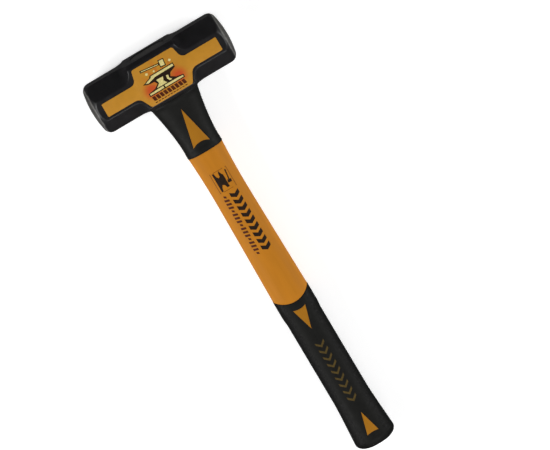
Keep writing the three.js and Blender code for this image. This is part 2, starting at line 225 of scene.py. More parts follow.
def done():
    bpy.ops.object.mode_set(mode="OBJECT")


def face_out():
    """Points every face of the piece in edit mode outward."""
    bpy.ops.mesh.select_all(action="SELECT")
    bpy.ops.mesh.normals_make_consistent(inside=False)


def pick(piece, kind, test):
    """Selects, in edit mode, only the vertices, edges or faces that pass a test."""
    bpy.ops.mesh.select_mode(type=kind)
    bpy.ops.mesh.select_all(action="DESELECT")
    mesh = bmesh.from_edit_mesh(piece.data)
    parts = {"VERT": mesh.verts, "EDGE": mesh.edges, "FACE": mesh.faces}[kind]
    for part in parts:
        if test(part):
            part.select_set(True)
    mesh.select_flush_mode()
    bmesh.update_edit_mesh(piece.data)


def modify(piece, kind, **settings):
    """Adds a modifier with its settings and applies it."""
    take(piece)
    modifier = piece.modifiers.new(kind.lower(), kind)
    for key, value in settings.items():
        setattr(modifier, key, value)
    bpy.ops.object.modifier_apply(modifier=modifier.name)


def carve(piece, tool, operation="DIFFERENCE"):
    """Combines a piece with a tool, and removes the tool."""
    modify(piece, "BOOLEAN", operation=operation, solver="MANIFOLD", object=tool)
    if not len(piece.data.vertices):
        raise RuntimeError(f"nothing is left of {piece.name} after {tool.name}")
    bpy.data.objects.remove(tool, do_unlink=True)


def round_edges(piece, width, sharper_than):
    """Rounds every edge that is sharper than an angle in degrees."""
    modify(piece, "BEVEL", width=width, segments=2, limit_method="ANGLE",
           angle_limit=math.radians(sharper_than))


def join(name, pieces):
    """Joins loose parts into the first of them."""
    take(pieces[0])
    for part in pieces[1:]:
        part.select_set(True)
    bpy.ops.object.join()
    pieces[0].name = name
    pieces[0].data.name = name
    return pieces[0]


def hand_over(piece, material, slot, *nodes, angle=35):
    """Shades a finished piece, gives it its finish and sets it on the frame."""
    edit(piece)
    face_out()
    done()
    bpy.ops.object.shade_smooth_by_angle(angle=math.radians(angle))
    piece.data.materials.clear()
    piece.data.materials.append(material)
    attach(piece, BODY)
    if nodes:
        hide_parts(*nodes)


# ---- Oval bars ----------------------------------------------------------------------------
def oval_bar(name, stations):
    """A closed bar of oval section along the handle. Each station is (x, width, thickness)."""
    x, width, thickness = stations[0]
    bar = start(name, bpy.ops.mesh.primitive_plane_add, size=1,
                location=(x, 0, AXIS_Z), rotation=(0, math.pi / 2, 0))
    edit(bar)
    bpy.ops.transform.resize(value=(1, width, thickness), center_override=(x, 0, AXIS_Z))
    bpy.ops.mesh.bevel(affect="VERTICES", offset_type="PERCENT", offset_pct=50,
                       segments=OVAL_SEGMENTS, profile=OVAL_PROFILE)
    bpy.ops.mesh.remove_doubles(threshold=1e-6)
    for (x, width, thickness), after in zip(stations, stations[1:]):
        bpy.ops.mesh.extrude_region_move(TRANSFORM_OT_translate={"value": (after[0] - x, 0, 0)})
        bpy.ops.transform.resize(value=(1, after[1] / width, after[2] / thickness),
                                 center_override=(after[0], 0, AXIS_Z))
    face_out()
    done()
    return bar


def grown(station_or_section, by):
    """A section, or a station with its section, made bigger all round."""
    *place, width, thickness = station_or_section
    return (*place, width + 2 * by, thickness + 2 * by)


def straight_bar(name, low, high, size):
    return oval_bar(name, [(low, *size), (high, *size)])


def sweep(low, first, high, last, bend, steps=12):
    """Stations that swing from one section to the next, level at the slimmer end."""
    bend_x = low + bend * (high - low)
    slim = [min(a, b) for a, b in zip(first, last)]
    stations = []
    for step in range(steps + 1):
        t = step / steps
        early, middle, late = (1 - t) ** 2, 2 * t * (1 - t), t * t
        x = early * low + middle * bend_x + late * high
        size = [early * a + middle * s + late * b for a, s, b in zip(first, slim, last)]
        stations.append((x, *size))
    return stations


class Handle:
    """The sections that the handle's mouldings share."""

    def __init__(self, sizes):
        self.sizes = sizes
        self.guard_foot = grown(sizes.shaft_top, sizes.guard_proud)
        self.under_guard = grown(self.guard_foot, -sizes.guard_wall - sizes.joint_gap)
        self.band = grown(sizes.shaft_bottom, sizes.band_proud)
        self.body = grown(self.band, -sizes.grip_step)
        self.under_grip = grown(self.body, -sizes.grip_wall - sizes.joint_gap)
        self.butt = tuple(a + b for a, b in zip(self.body, sizes.flare_growth))

    def guard_stations(self):
        sizes = self.sizes
        collar = grown(sizes.guard_top, sizes.collar_proud)
        lip = grown(self.guard_foot, sizes.lip_proud)
        flare_top = GUARD_LOW.x + sizes.collar_length
        flare_foot = GUARD_HIGH.x - sizes.lip_length
        step = 0.5 * MM
        return [
            (GUARD_LOW.x, *collar),
            (flare_top - step, *collar),
            *sweep(flare_top, sizes.guard_top, flare_foot, self.guard_foot,
                   GUARD_BEND, 16),
            (flare_foot + step, *lip),
            (GUARD_HIGH.x, *lip),
        ]

    def shaft_stations(self):
        sizes = self.sizes
        top = GUARD_HIGH.x + sizes.joint_gap
        waist = GUARD_HIGH.x + sizes.waist_below_guard
        upper = sweep(top, sizes.shaft_top, waist, sizes.shaft_waist, UPPER_SHAFT_BEND)
        lower = sweep(waist, sizes.shaft_waist, GRIP_LOW.x, sizes.shaft_bottom,
                      LOWER_SHAFT_BEND, 24)
        return [*upper, *lower[1:], (GRIP_LOW.x + sizes.scallop, *sizes.shaft_bottom)]

    def grip_stations(self):
        sizes = self.sizes
        band_end = GRIP_LOW.x + sizes.band_length
        widest = GRIP_HIGH.x - sizes.butt_round
        flare = sweep(widest - sizes.flare_length, self.body, widest, self.butt,
                      FLARE_BEND, 14)
        butt = []
        for part in BUTT_SHARES:
            scale = (1 - part ** BUTT_POWER) ** (1 / OVAL_POWER)
            butt.append((widest + part * sizes.butt_round, *[side * scale for side in self.butt]))
        end = [side / 2 for side in butt[-1][1:]]
        return [
            (GRIP_LOW.x, *self.band),
            (band_end, *self.band),
            (band_end + sizes.band_taper, *self.body),
            *flare,
            *butt,
            (GRIP_HIGH.x, *end),
        ]


def tongue(name, handle, gap):
    """Covers everything above the grip's scalloped top edge, drawn back from it by a gap."""
    sizes = handle.sizes
    chord = handle.band[0] / 2
    nose = (chord ** 2 + sizes.scallop ** 2) / (2 * sizes.scallop)
    centre = GRIP_LOW.x + sizes.scallop - nose
    disc = start(name, bpy.ops.mesh.primitive_cylinder_add, vertices=256, radius=nose - gap,
                 depth=2 * FAR, location=(centre, 0, AXIS_Z))
    block = start("block", bpy.ops.mesh.primitive_cube_add, size=1)
    edit(block)
    low = -FAR
    high = GRIP_LOW.x - gap
    bpy.ops.transform.resize(value=(high - low, 2 * FAR, 2 * FAR), center_override=(0, 0, 0))
    bpy.ops.transform.translate(value=((high + low) / 2, 0, AXIS_Z))
    done()
    carve(disc, block, "UNION")
    return disc


# ---- Inlays -------------------------------------------------------------------------------
def triangle_prism(name, tip, base, half, dish, gap):
    """A prism through the handle on a triangle whose base is dished toward its tip."""
    height = abs(base - tip)
    toward_tip = math.copysign(1, tip - base)
    inradius = half * height / (math.hypot(height, half) + half)
    centre = base + toward_tip * inradius
    scale = 1 - gap / inradius
    corners = [(tip, 0), (base, half), (base, -half)]
    prism = start(name, bpy.ops.mesh.primitive_circle_add, vertices=3, radius=1,
                  fill_type="NGON")
    edit(prism)
    mesh = bmesh.from_edit_mesh(prism.data)
    for vertex, (x, y) in zip(mesh.verts, corners):
        vertex.co = (centre + scale * (x - centre), scale * y, AXIS_Z - FAR)
    bmesh.update_edit_mesh(prism.data)
    bpy.ops.mesh.extrude_region_move(TRANSFORM_OT_translate={"value": (0, 0, 2 * FAR)})
    face_out()
    done()
    reach = scale * half
    deep = scale * dish
    dish_radius = (reach ** 2 + deep ** 2) / (2 * deep)
    dish_centre = centre + scale * (base - centre) + toward_tip * (deep - dish_radius)
    disc = start("dish", bpy.ops.mesh.primitive_cylinder_add, vertices=256, radius=dish_radius,
                 depth=3 * FAR, location=(dish_centre, 0, AXIS_Z))
    carve(prism, disc)
    return prism


def half_space(name, side):
    """Everything in front of the handle's axis, or everything behind it."""
    block = start(name, bpy.ops.mesh.primitive_cube_add, size=2)
    edit(block)
    bpy.ops.transform.resize(value=(10 * FAR, 2 * FAR, FAR), center_override=(0, 0, 0))
    bpy.ops.transform.translate(value=(0, 0, AXIS_Z + side * FAR))
    done()
    return block


def set_inlays(moulding, name, stations, window, sizes, material):
    """Cuts a pocket in the front and back of a moulding and sets an inlay in each."""
    tip, base, half, dish = window
    depth = sizes.pocket
    gap = bpy.context.scene.hammer_inlays.gap
    floor = oval_bar("floor", [grown(station, -depth) for station in stations])
    pocket = triangle_prism("pocket", tip, base, half, dish, 0)
    carve(pocket, floor)
    carve(moulding, pocket)
    for face, side in (("front", 1), ("back", -1)):
        inlay = oval_bar(f"{name}_{face}_moulded", stations)
        carve(inlay, triangle_prism("outline", tip, base, half, dish, gap), "INTERSECT")
        carve(inlay, half_space("half", side), "INTERSECT")
        bed = oval_bar("bed", [grown(station, gap - depth) for station in stations])
        carve(inlay, bed)
        round_edges(inlay, INLAY_EDGE, 40)
        hand_over(inlay, material, "yellow_inlay", f"{name}_{face}")


# ---- Finishes -----------------------------------------------------------------------------
def add_node(tree, kind, settings=None, inputs=None):
    """Adds a node, sets its properties, and sets or links its inputs."""
    made = tree.nodes.new(kind)
    for key, value in (settings or {}).items():
        setattr(made, key, value)
    for key, value in (inputs or {}).items():
        if isinstance(value, bpy.types.NodeSocket):
            tree.links.new(value, made.inputs[key])
        else:
            made.inputs[key].default_value = value
    return made


def new_finish(name, **shader_values):
    """Starts a material. Returns it, its tree, its shader and the object's own coordinates."""
    material = bpy.data.materials.new(name)
    material.use_nodes = True
    tree = material.node_tree
    tree.nodes.clear()
    values = {key.replace("_", " "): value for key, value in shader_values.items()}
    shader = add_node(tree, "ShaderNodeBsdfPrincipled", inputs=values)
    add_node(tree, "ShaderNodeOutputMaterial", inputs={"Surface": shader.outputs["BSDF"]})
    place = add_node(tree, "ShaderNodeTexCoord").outputs["Object"]
    return material, tree, shader, place


def per(millimetres):
    """The scale that gives a pattern cells of this size."""
    return 1 / (millimetres * MM)


def shade_of(base, factor):
    """A lighter or darker tone of a linear colour."""
    return (*[min(1, channel * factor) for channel in base[:3]], 1.0)


def noise(tree, place, size, detail):
    """Noise in patches of a size in millimetres."""
    return add_node(tree, "ShaderNodeTexNoise", inputs={
        "Vector": place, "Scale": per(size), "Detail": detail}).outputs["Fac"]


def reckon(tree, operation, *values):
    """The result of one step of arithmetic."""
    return add_node(tree, "ShaderNodeMath", {"operation": operation},
                    dict(enumerate(values))).outputs[0]


def remap(tree, value, low, high, to_low=0.0, to_high=1.0, **settings):
    """Carries a value from one range to another."""
    return add_node(tree, "ShaderNodeMapRange", settings, {
        "Value": value, "From Min": low, "From Max": high,
        "To Min": to_low, "To Max": to_high}).outputs[0]


def blend(tree, factor, first, second, **settings):
    """Mixes two colours."""
    return add_node(tree, "ShaderNodeMix", {"data_type": "RGBA", **settings},
                    {"Factor": factor, 6: first, 7: second}).outputs[2]


def relief(tree, height, strength, depth, **under):
    """Bumps of a depth in millimetres. Normal, if given, is the relief that they lie on."""
    return add_node(tree, "ShaderNodeBump", inputs={
        "Strength": strength, "Distance": depth * MM, "Height": height,
        **under}).outputs["Normal"]


def drive(tree, shader, **results):
    """Links results to the shader's inputs, with _ for a space in an input's name."""
    for name, result in results.items():
        tree.links.new(result, shader.inputs[name.replace("_", " ")])


def tinted_noise(tree, place, base, size, low, high, detail=4.0):
    """Colour that drifts between two tones of a base over patches of a real size."""
    ramp = add_node(tree, "ShaderNodeValToRGB",
                    inputs={"Fac": noise(tree, place, size, detail)})
    ramp.color_ramp.elements[0].position = 0.3
    ramp.color_ramp.elements[0].color = shade_of(base, low)
    ramp.color_ramp.elements[1].position = 0.7
    ramp.color_ramp.elements[1].color = shade_of(base, high)
    return ramp.outputs["Color"]


def lacquered_forging(colours, bare_from):
    """Drop-forged carbon steel, sprayed with black lacquer and ground bright at the faces.

    The forging gives slow dents, the lacquer a fine orange peel and a soft sheen, and the
    ground faces show rings.
    """
    material, tree, shader, place = new_finish("lacquered_drop_forging",
                                               Specular_IOR_Level=0.4)
    split = add_node(tree, "ShaderNodeSeparateXYZ", inputs={"Vector": place})
    reach = reckon(tree, "ABSOLUTE", split.outputs["Y"])
    ragged = reckon(tree, "MULTIPLY_ADD", noise(tree, place, 4, 5.0), 1.6 * MM, reach)
    bare = remap(tree, ragged, bare_from, bare_from + 1.4 * MM)

    lacquer = tinted_noise(tree, place, colours.lacquer, 9, 0.8, 1.25)
    steel = tinted_noise(tree, place, colours.steel, 2.2, 0.75, 1.15, 6.0)
    sheen = remap(tree, noise(tree, place, 6, 5.0), 0.25, 0.75, 0.33, 0.48)

    # Forging dents of about 7 mm, and orange peel of about 1 mm, which is really finer.
    dented = relief(tree, noise(tree, place, 7, 2.0), 0.35, 0.35)
    peeled = relief(tree, noise(tree, place, 1.1, 2.0), 0.3, 0.06, Normal=dented)
    # Grinding rings about the head's axis. They are really finer, and are drawn 3.77 mm apart
    # to show. The wave repeats every tau / 20 of its own units.
    centred = add_node(tree, "ShaderNodeMapping", inputs={
        "Vector": place, "Location": (0, 0, -AXIS_Z)})
    rings = add_node(tree, "ShaderNodeTexWave",
                     {"wave_type": "RINGS", "rings_direction": "Y"},
                     {"Vector": centred.outputs["Vector"], "Scale": per(3.77) * math.tau / 20,
                      "Distortion": 1.5, "Detail": 2.0})
    ground = reckon(tree, "MULTIPLY", rings.outputs["Fac"], bare)
    grooved = relief(tree, ground, 0.4, 0.03, Normal=peeled)
    drive(tree, shader, Base_Color=blend(tree, bare, lacquer, steel), Metallic=bare,
          Roughness=sheen, Normal=grooved)
    return material


def moulded_plastic(name, base, roughness):
    """Injection-moulded polypropylene: an even, waxy yellow with faint flow along the handle.

    The flow lines give a slow drift of tone, and fine scuffs break up the sheen.
    """
    material, tree, shader, place = new_finish(name, Specular_IOR_Level=0.06)
    flow = add_node(tree, "ShaderNodeMapping", inputs={
        "Vector": place, "Scale": (0.15, 1, 1)}).outputs["Vector"]
    tone = tinted_noise(tree, flow, base, 6, 0.95, 1.05)
    scuffs = remap(tree, noise(tree, flow, 1.2, 6.0), 0.3, 0.7,
                   roughness - 0.06, roughness + 0.08)
    grain = relief(tree, noise(tree, place, 1.4, 3.0), 0.25, 0.05)
    drive(tree, shader, Base_Color=tone, Roughness=scuffs, Normal=grain)
    return material


def moulded_rubber(name, base, stipple_from):
    """Thermoplastic rubber, moulded with a fine spark-eroded texture that takes off the shine.

    Past stipple_from, on the sides of the grip, it has a coarser stipple.
    """
    material, tree, shader, place = new_finish(name, Specular_IOR_Level=0.16)
    tone = tinted_noise(tree, place, base, 5, 0.85, 1.2)
    # The stipple's pips are really about 0.8 mm apart, and are drawn 1.5 mm apart to show.
    pips = add_node(tree, "ShaderNodeTexVoronoi", inputs={"Vector": place, "Scale": per(1.5)})
    split = add_node(tree, "ShaderNodeSeparateXYZ", inputs={"Vector": place})
    reach = reckon(tree, "ABSOLUTE", split.outputs["Y"])
    side = remap(tree, reach, stipple_from, stipple_from + 2 * MM)
    raised = reckon(tree, "MULTIPLY", pips.outputs["Distance"], side)
    speckled = blend(tree, raised, tone, shade_of(base, 20), blend_type="MULTIPLY")
    scuffs = remap(tree, noise(tree, place, 2.5, 5.0), 0.3, 0.7, 0.52, 0.66)
    fine = relief(tree, noise(tree, place, 0.9, 3.0), 0.4, 0.08)
    coarse = relief(tree, raised, 0.7, 0.35, Normal=fine)
    drive(tree, shader, Base_Color=speckled, Roughness=scuffs, Normal=coarse)
    return material


def printed_film(colours):
    """Gloss vinyl label, printed yellow with soft orange rays and a red glow at each side."""
    material, tree, shader, place = new_finish("printed_vinyl_label", Roughness=0.42,
                                               Specular_IOR_Level=0.25)
    ground = tinted_noise(tree, place, colours.label, 5, 0.96, 1.04)
    split = add_node(tree, "ShaderNodeSeparateXYZ", inputs={"Vector": place})
    # Rays fan out from behind the emblem, 20 degrees apart.
    low = reckon(tree, "SUBTRACT", split.outputs["X"], 9 * MM)
    bearing = reckon(tree, "ARCTAN2", split.outputs["Y"], low)
    wave = reckon(tree, "SINE", reckon(tree, "MULTIPLY", bearing, 18.0))
    rays = remap(tree, wave, -0.4, 0.8)
    middle = add_node(tree, "ShaderNodeMapping", inputs={
        "Vector": place, "Location": (0, 0, -LABEL_HIGH.z)})
    far = add_node(tree, "ShaderNodeVectorMath", {"operation": "LENGTH"},
                   {0: middle.outputs["Vector"]})
    near = remap(tree, far.outputs["Value"], 21 * MM, 9 * MM, 0.0, 0.5,
                 interpolation_type="SMOOTHSTEP")
    lit = reckon(tree, "MULTIPLY", rays, near)
    orange = blend(tree, lit, ground, linear(0xB8561E))
    reach = reckon(tree, "ABSOLUTE", split.outputs["Y"])
    mirrored = add_node(tree, "ShaderNodeCombineXYZ", inputs={
        "X": split.outputs["X"], "Y": reach, "Z": 0.0})
    off = add_node(tree, "ShaderNodeVectorMath", {"operation": "DISTANCE"},
                   {0: mirrored.outputs["Vector"], 1: (6.5 * MM, 13.5 * MM, 0)})
    glow = remap(tree, off.outputs["Value"], 10.5 * MM, 2 * MM, 0.0, 0.9,
                 interpolation_type="SMOOTHSTEP")
    red = blend(tree, glow, orange, colours.ink_red[:])
    ripple = relief(tree, noise(tree, place, 8, 2.0), 0.2, 0.08)
    drive(tree, shader, Base_Color=red, Normal=ripple)
    return material


def printed_ink(name, base, roughness):
    """Screen-printed ink: dense, with a little mottle where it lies thin."""
    material, tree, shader, place = new_finish(name, Roughness=roughness,
                                               Specular_IOR_Level=0.15)
    tone = tinted_noise(tree, place, base, 1.5, 0.85, 1.25)
    grain = relief(tree, noise(tree, place, 0.7, 2.0), 0.2, 0.02)
    drive(tree, shader, Base_Color=tone, Normal=grain)
    return material


def hidden_finish(name, base, roughness, size, depth):
    """A finish for what shows only in the eye: fibreglass ends, cast resin and foam."""
    material, tree, shader, place = new_finish(name, Roughness=roughness)
    tone = tinted_noise(tree, place, linear(base), size, 0.75, 1.3, 6.0)
    grain = relief(tree, noise(tree, place, size, 4.0), 0.5, depth)
    drive(tree, shader, Base_Color=tone, Normal=grain)
    return material


# ---- Operators ----------------------------------------------------------------------------
class HAMMER_OT_camera(bpy.types.Operator):
    """Looks down on the labelled cheek from a little past the head, handle running low right"""
    bl_idname = "hammer.camera"
    bl_label = "Camera"

    def execute(self, context):
        tilt = math.radians(10.54)
        yaw = math.radians(0.03)
        roll = math.radians(30.27)
        away = 8.0
        view_width = 481.635 * MM    # how much of the hammer's plane the view takes in
        target = Vector((168.43 * MM, 18.82 * MM, AXIS_Z))
        toward = Vector((-math.sin(tilt) * math.cos(yaw), math.sin(yaw),
                         math.cos(tilt) * math.cos(yaw)))
        up = Vector((-math.cos(roll), math.sin(roll), 0))
        up = (up - toward * up.dot(toward)).normalized()
        right = up.cross(toward)
        data = bpy.data.cameras.new("camera")
        data.sensor_width = 36
        data.lens = away / view_width * data.sensor_width
        data.clip_start = 0.1
        data.clip_end = 100
        camera = bpy.data.objects.new("camera", data)
        context.scene.collection.objects.link(camera)
        camera.matrix_world = Matrix.Translation(target + away * toward) @ Matrix(
            (right, up, toward)).transposed().to_4x4()
        context.scene.camera = camera
        return {"FINISHED"}


class HAMMER_OT_head(bpy.types.Operator):
    """Forges the octagonal head with its eye block, scoops, domed faces and eye"""
    bl_idname = "hammer.head"
    bl_label = "Head"

    def execute(self, context):
        sizes = context.scene.hammer_head
        flat = (HEAD_HIGH.z - HEAD_LOW.z) / 2
        half_length = (HEAD_HIGH.y - HEAD_LOW.y) / 2
        head = start("head_forging", bpy.ops.mesh.primitive_cylinder_add, vertices=8,
                     radius=flat / math.cos(math.pi / 8), depth=2 * half_length,
                     location=(0, 0, AXIS_Z), rotation=(math.pi / 2, math.pi / 8, 0))
        carve(head, self.eye_block(sizes, flat), "UNION")
        carve(head, self.envelope(sizes, flat, half_length), "INTERSECT")
        mouth = grown(sizes.eye_waist, sizes.eye_flare)
        eye = oval_bar("eye", [
            (HEAD_LOW.x - OVERLAP, *mouth), (HEAD_LOW.x, *mouth), (0, *sizes.eye_waist),
            (HEAD_HIGH.x, *mouth), (HEAD_HIGH.x + OVERLAP, *mouth)])
        carve(head, eye)
        # Forged edges are never crisp, so the facets are made even and then smoothed.
        modify(head, "REMESH", mode="VOXEL", voxel_size=sizes.grain, adaptivity=0)
        modify(head, "SMOOTH", factor=0.5, iterations=6)
        colours = context.scene.hammer_colours
        bare_from = half_length - sizes.bare_steel
        hand_over(head, lacquered_forging(colours, bare_from), "painted_forged_steel",
                  "head", angle=60)
        return {"FINISHED"}

    def eye_block(self, sizes, flat):
        """The chamfered middle block, whose ends ramp down and are hollowed at each bevel."""
        proud = flat + sizes.block_proud
        corner = (proud + flat - sizes.block_chamfer) / math.sqrt(2) - flat
        radius = sizes.scoop_radius
        ramp = math.sqrt(radius ** 2 - (radius - corner) ** 2)
        block = start("eye_block", bpy.ops.mesh.primitive_cube_add, size=2)
        edit(block)
        half = sizes.block_length / 2
        bpy.ops.transform.resize(value=(proud, half, flat), center_override=(0, 0, 0))
        pick(block, "EDGE", lambda e: abs(e.verts[0].co.y - e.verts[1].co.y) > half)
        bpy.ops.mesh.bevel(offset=sizes.block_chamfer, segments=1, affect="EDGES")
        pick(block, "FACE", lambda f: abs(f.normal.y) > 0.9)
        self.ramp_ends(block, ramp, flat / proud)
        done()
        for end in (-1, 1):
            carve(block, self.scoops(radius, flat, end * (half + ramp)))
        edit(block)
        bpy.ops.transform.translate(value=(0, 0, AXIS_Z))
        done()
        return block

    def ramp_ends(self, block, ramp, shrink):
        """Draws the block out at both ends, down to the height of the poles."""
        for end in (-1, 1):
            pick(block, "FACE", lambda f: f.normal.y * end > 0.9)
            bpy.ops.mesh.extrude_region_move(
                TRANSFORM_OT_translate={"value": (0, end * ramp, 0)})
            bpy.ops.transform.resize(value=(shrink, 1, 1), center_override=(0, 0, 0))

    def scoops(self, radius, flat, y):
        """Four round cutters, one along each bevel at one end of the block."""
        distance = flat + radius
        place = distance / math.sqrt(2)
        scoop = start("scoops", bpy.ops.mesh.primitive_cylinder_add, vertices=96, radius=radius,
                      depth=2 * flat, location=(place, y, place),
                      rotation=(0, -math.pi / 4, 0))
        edit(scoop)
        bpy.ops.mesh.spin(steps=4, dupli=True, angle=2 * math.pi, center=(0, y, 0),
                          axis=(0, 1, 0))
        bpy.ops.mesh.select_all(action="SELECT")
        bpy.ops.mesh.remove_doubles(threshold=1e-6)
        face_out()
        done()
        return scoop

    def envelope(self, sizes, flat, half_length):
        """A drum whose ends are inset step by step into rounded rims and shallow domes."""
        face = flat - sizes.rim_width
        crown = sizes.crown_radius

        def dome(r):
            return half_length - crown + math.sqrt(crown ** 2 - r ** 2)

        rim_top = dome(face)
        bend = (flat, rim_top - sizes.rim_depth / 3)
        foot = (flat + sizes.rim_width / 2, rim_top - 1.5 * sizes.rim_depth)
        profile = [(FAR, half_length - FAR)]
        rim_steps = 8
        for step in range(rim_steps + 1):
            t = step / rim_steps
            profile.append(tuple((1 - t) ** 2 * a + 2 * t * (1 - t) * b + t * t * c
                                 for a, b, c in zip(foot, bend, (face, rim_top))))
        for part in (0.8, 0.6, 0.4, 0.2, 0.05):
            profile.append((face * part, dome(face * part)))
        drum = start("envelope", bpy.ops.mesh.primitive_cylinder_add, vertices=96,
                     radius=profile[0][0], depth=2 * profile[0][1], location=(0, 0, AXIS_Z),
                     rotation=(math.pi / 2, 0, 0))
        edit(drum)
        pick(drum, "FACE", lambda f: abs(f.normal.y) > 0.9)
        for (radius, y), (next_radius, next_y) in zip(profile, profile[1:]):
            bpy.ops.mesh.inset(thickness=radius - next_radius, depth=next_y - y,
                               use_even_offset=True)
        done()
        return drum


class HAMMER_OT_eye(bpy.types.Operator):
    """Finishes what shows in the eye: the rod's end, the cast resin and the foam seal"""
    bl_idname = "hammer.eye"
    bl_label = "Eye"

    def execute(self, context):
        finishes = {
            # Pultruded glass fibre: pale green-cream, with the ends of the rovings.
            "core_rod": hidden_finish("pultruded_fibreglass", 0xCFC49A, roughness=0.5,
                                      size=0.8, depth=0.1),
            # Cast epoxy: dark, fairly glossy and faintly uneven.
            "eye_resin": hidden_finish("cast_epoxy_resin", 0x1E1C1A, roughness=0.35,
                                       size=6, depth=0.05),
            # Closed-cell foam: dead matt and pitted.
            "eye_dam": hidden_finish("closed_cell_foam", 0x3A3A38, roughness=0.95,
                                     size=1, depth=0.3),
        }
        for name, material in finishes.items():
            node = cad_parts[name]
            node.data.materials.clear()
            node.data.materials.append(material)
        return {"FINISHED"}


class HAMMER_OT_shaft(bpy.types.Operator):
    """Moulds the yellow jacket, with the spigots that run on inside the guard and the grip"""
    bl_idname = "hammer.shaft"
    bl_label = "Shaft jacket"

    def execute(self, context):
        sizes = context.scene.hammer_handle
        handle = Handle(sizes)
        jacket = oval_bar("shaft_moulding", handle.shaft_stations())
        carve(jacket, tongue("tongue", handle, sizes.joint_gap), "INTERSECT")
        round_edges(jacket, sizes.edge, 50)
        upper = straight_bar("upper", JACKET_LOW.x, GUARD_HIGH.x + OVERLAP, handle.under_guard)
        lower = straight_bar("lower", GRIP_LOW.x - OVERLAP, JACKET_HIGH.x, handle.under_grip)
        carve(jacket, upper, "UNION")
        carve(jacket, lower, "UNION")
        rod_low, rod_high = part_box("core_rod")
        rod = (rod_high.y - rod_low.y, rod_high.z - rod_low.z)
        bore = straight_bar("bore", JACKET_LOW.x - OVERLAP, rod_high.x + sizes.joint_gap,
                            grown(rod, sizes.joint_gap))
        carve(jacket, bore)
        yellow = moulded_plastic("moulded_yellow_polypropylene",
                                 context.scene.hammer_colours.jacket, roughness=0.5)
        hand_over(jacket, yellow, "yellow_plastic", "shaft_jacket")
        return {"FINISHED"}


class HAMMER_OT_guard(bpy.types.Operator):
    """Moulds the overstrike guard under the head and sets its two triangles"""
    bl_idname = "hammer.guard"
    bl_label = "Overstrike guard"

    def execute(self, context):
        sizes = context.scene.hammer_handle
        inlays = context.scene.hammer_inlays
        colours = context.scene.hammer_colours
        handle = Handle(sizes)
        stations = handle.guard_stations()
        guard = oval_bar("guard_moulding", stations)
        bore = straight_bar("bore", GUARD_LOW.x - MM, GUARD_HIGH.x + MM,
                            grown(handle.under_guard, sizes.joint_gap))
        carve(guard, bore)
        window = (GUARD_LOW.x + inlays.guard_from_top, GUARD_HIGH.x - inlays.guard_from_foot,
                  inlays.guard_half, inlays.guard_dish)
        # The inlays' darker yellow is painted shade on the jacket's plastic.
        yellow = moulded_plastic("painted_shade_yellow_guard_inlay", colours.inlay, roughness=0.45)
        set_inlays(guard, "guard_inlay", stations, window, sizes, yellow)
        round_edges(guard, sizes.edge, 40)
        rubber = moulded_rubber("moulded_rubber_guard", colours.rubber, stipple_from=FAR)
        hand_over(guard, rubber, "black_rubber", "overstrike_guard")
        return {"FINISHED"}


class HAMMER_OT_grip(bpy.types.Operator):
    """Moulds the grip with its scalloped top edge and flared butt, and sets its triangles"""
    bl_idname = "hammer.grip"
    bl_label = "Grip"

    def execute(self, context):
        sizes = context.scene.hammer_handle
        inlays = context.scene.hammer_inlays
        colours = context.scene.hammer_colours
        handle = Handle(sizes)
        stations = handle.grip_stations()
        grip = oval_bar("grip_moulding", stations)
        bore = straight_bar("bore", GRIP_LOW.x - MM, JACKET_HIGH.x + sizes.joint_gap,
                            grown(handle.under_grip, sizes.joint_gap))
        carve(grip, bore)
        carve(grip, tongue("tongue", handle, 0))
        # The inlays' darker yellow is painted shade on the jacket's plastic.
        yellow = moulded_plastic("painted_shade_yellow_grip_inlay", colours.inlay, roughness=0.45)
        base = GRIP_LOW.x + inlays.upper_from_top
        upper = (base + inlays.upper_height, base, inlays.upper_half, inlays.upper_dish)
        set_inlays(grip, "grip_upper_inlay", stations, upper, sizes, yellow)
        base = GRIP_HIGH.x - inlays.lower_from_butt
        lower = (base - inlays.lower_height, base, inlays.lower_half, inlays.lower_dish)
        set_inlays(grip, "grip_lower_inlay", stations, lower, sizes, yellow)
        round_edges(grip, sizes.edge, 40)
        rubber = moulded_rubber("moulded_rubber_grip", colours.rubber, stipple_from=9.5 * MM)
        hand_over(grip, rubber, "black_rubber", "grip_sleeve")
        return {"FINISHED"}


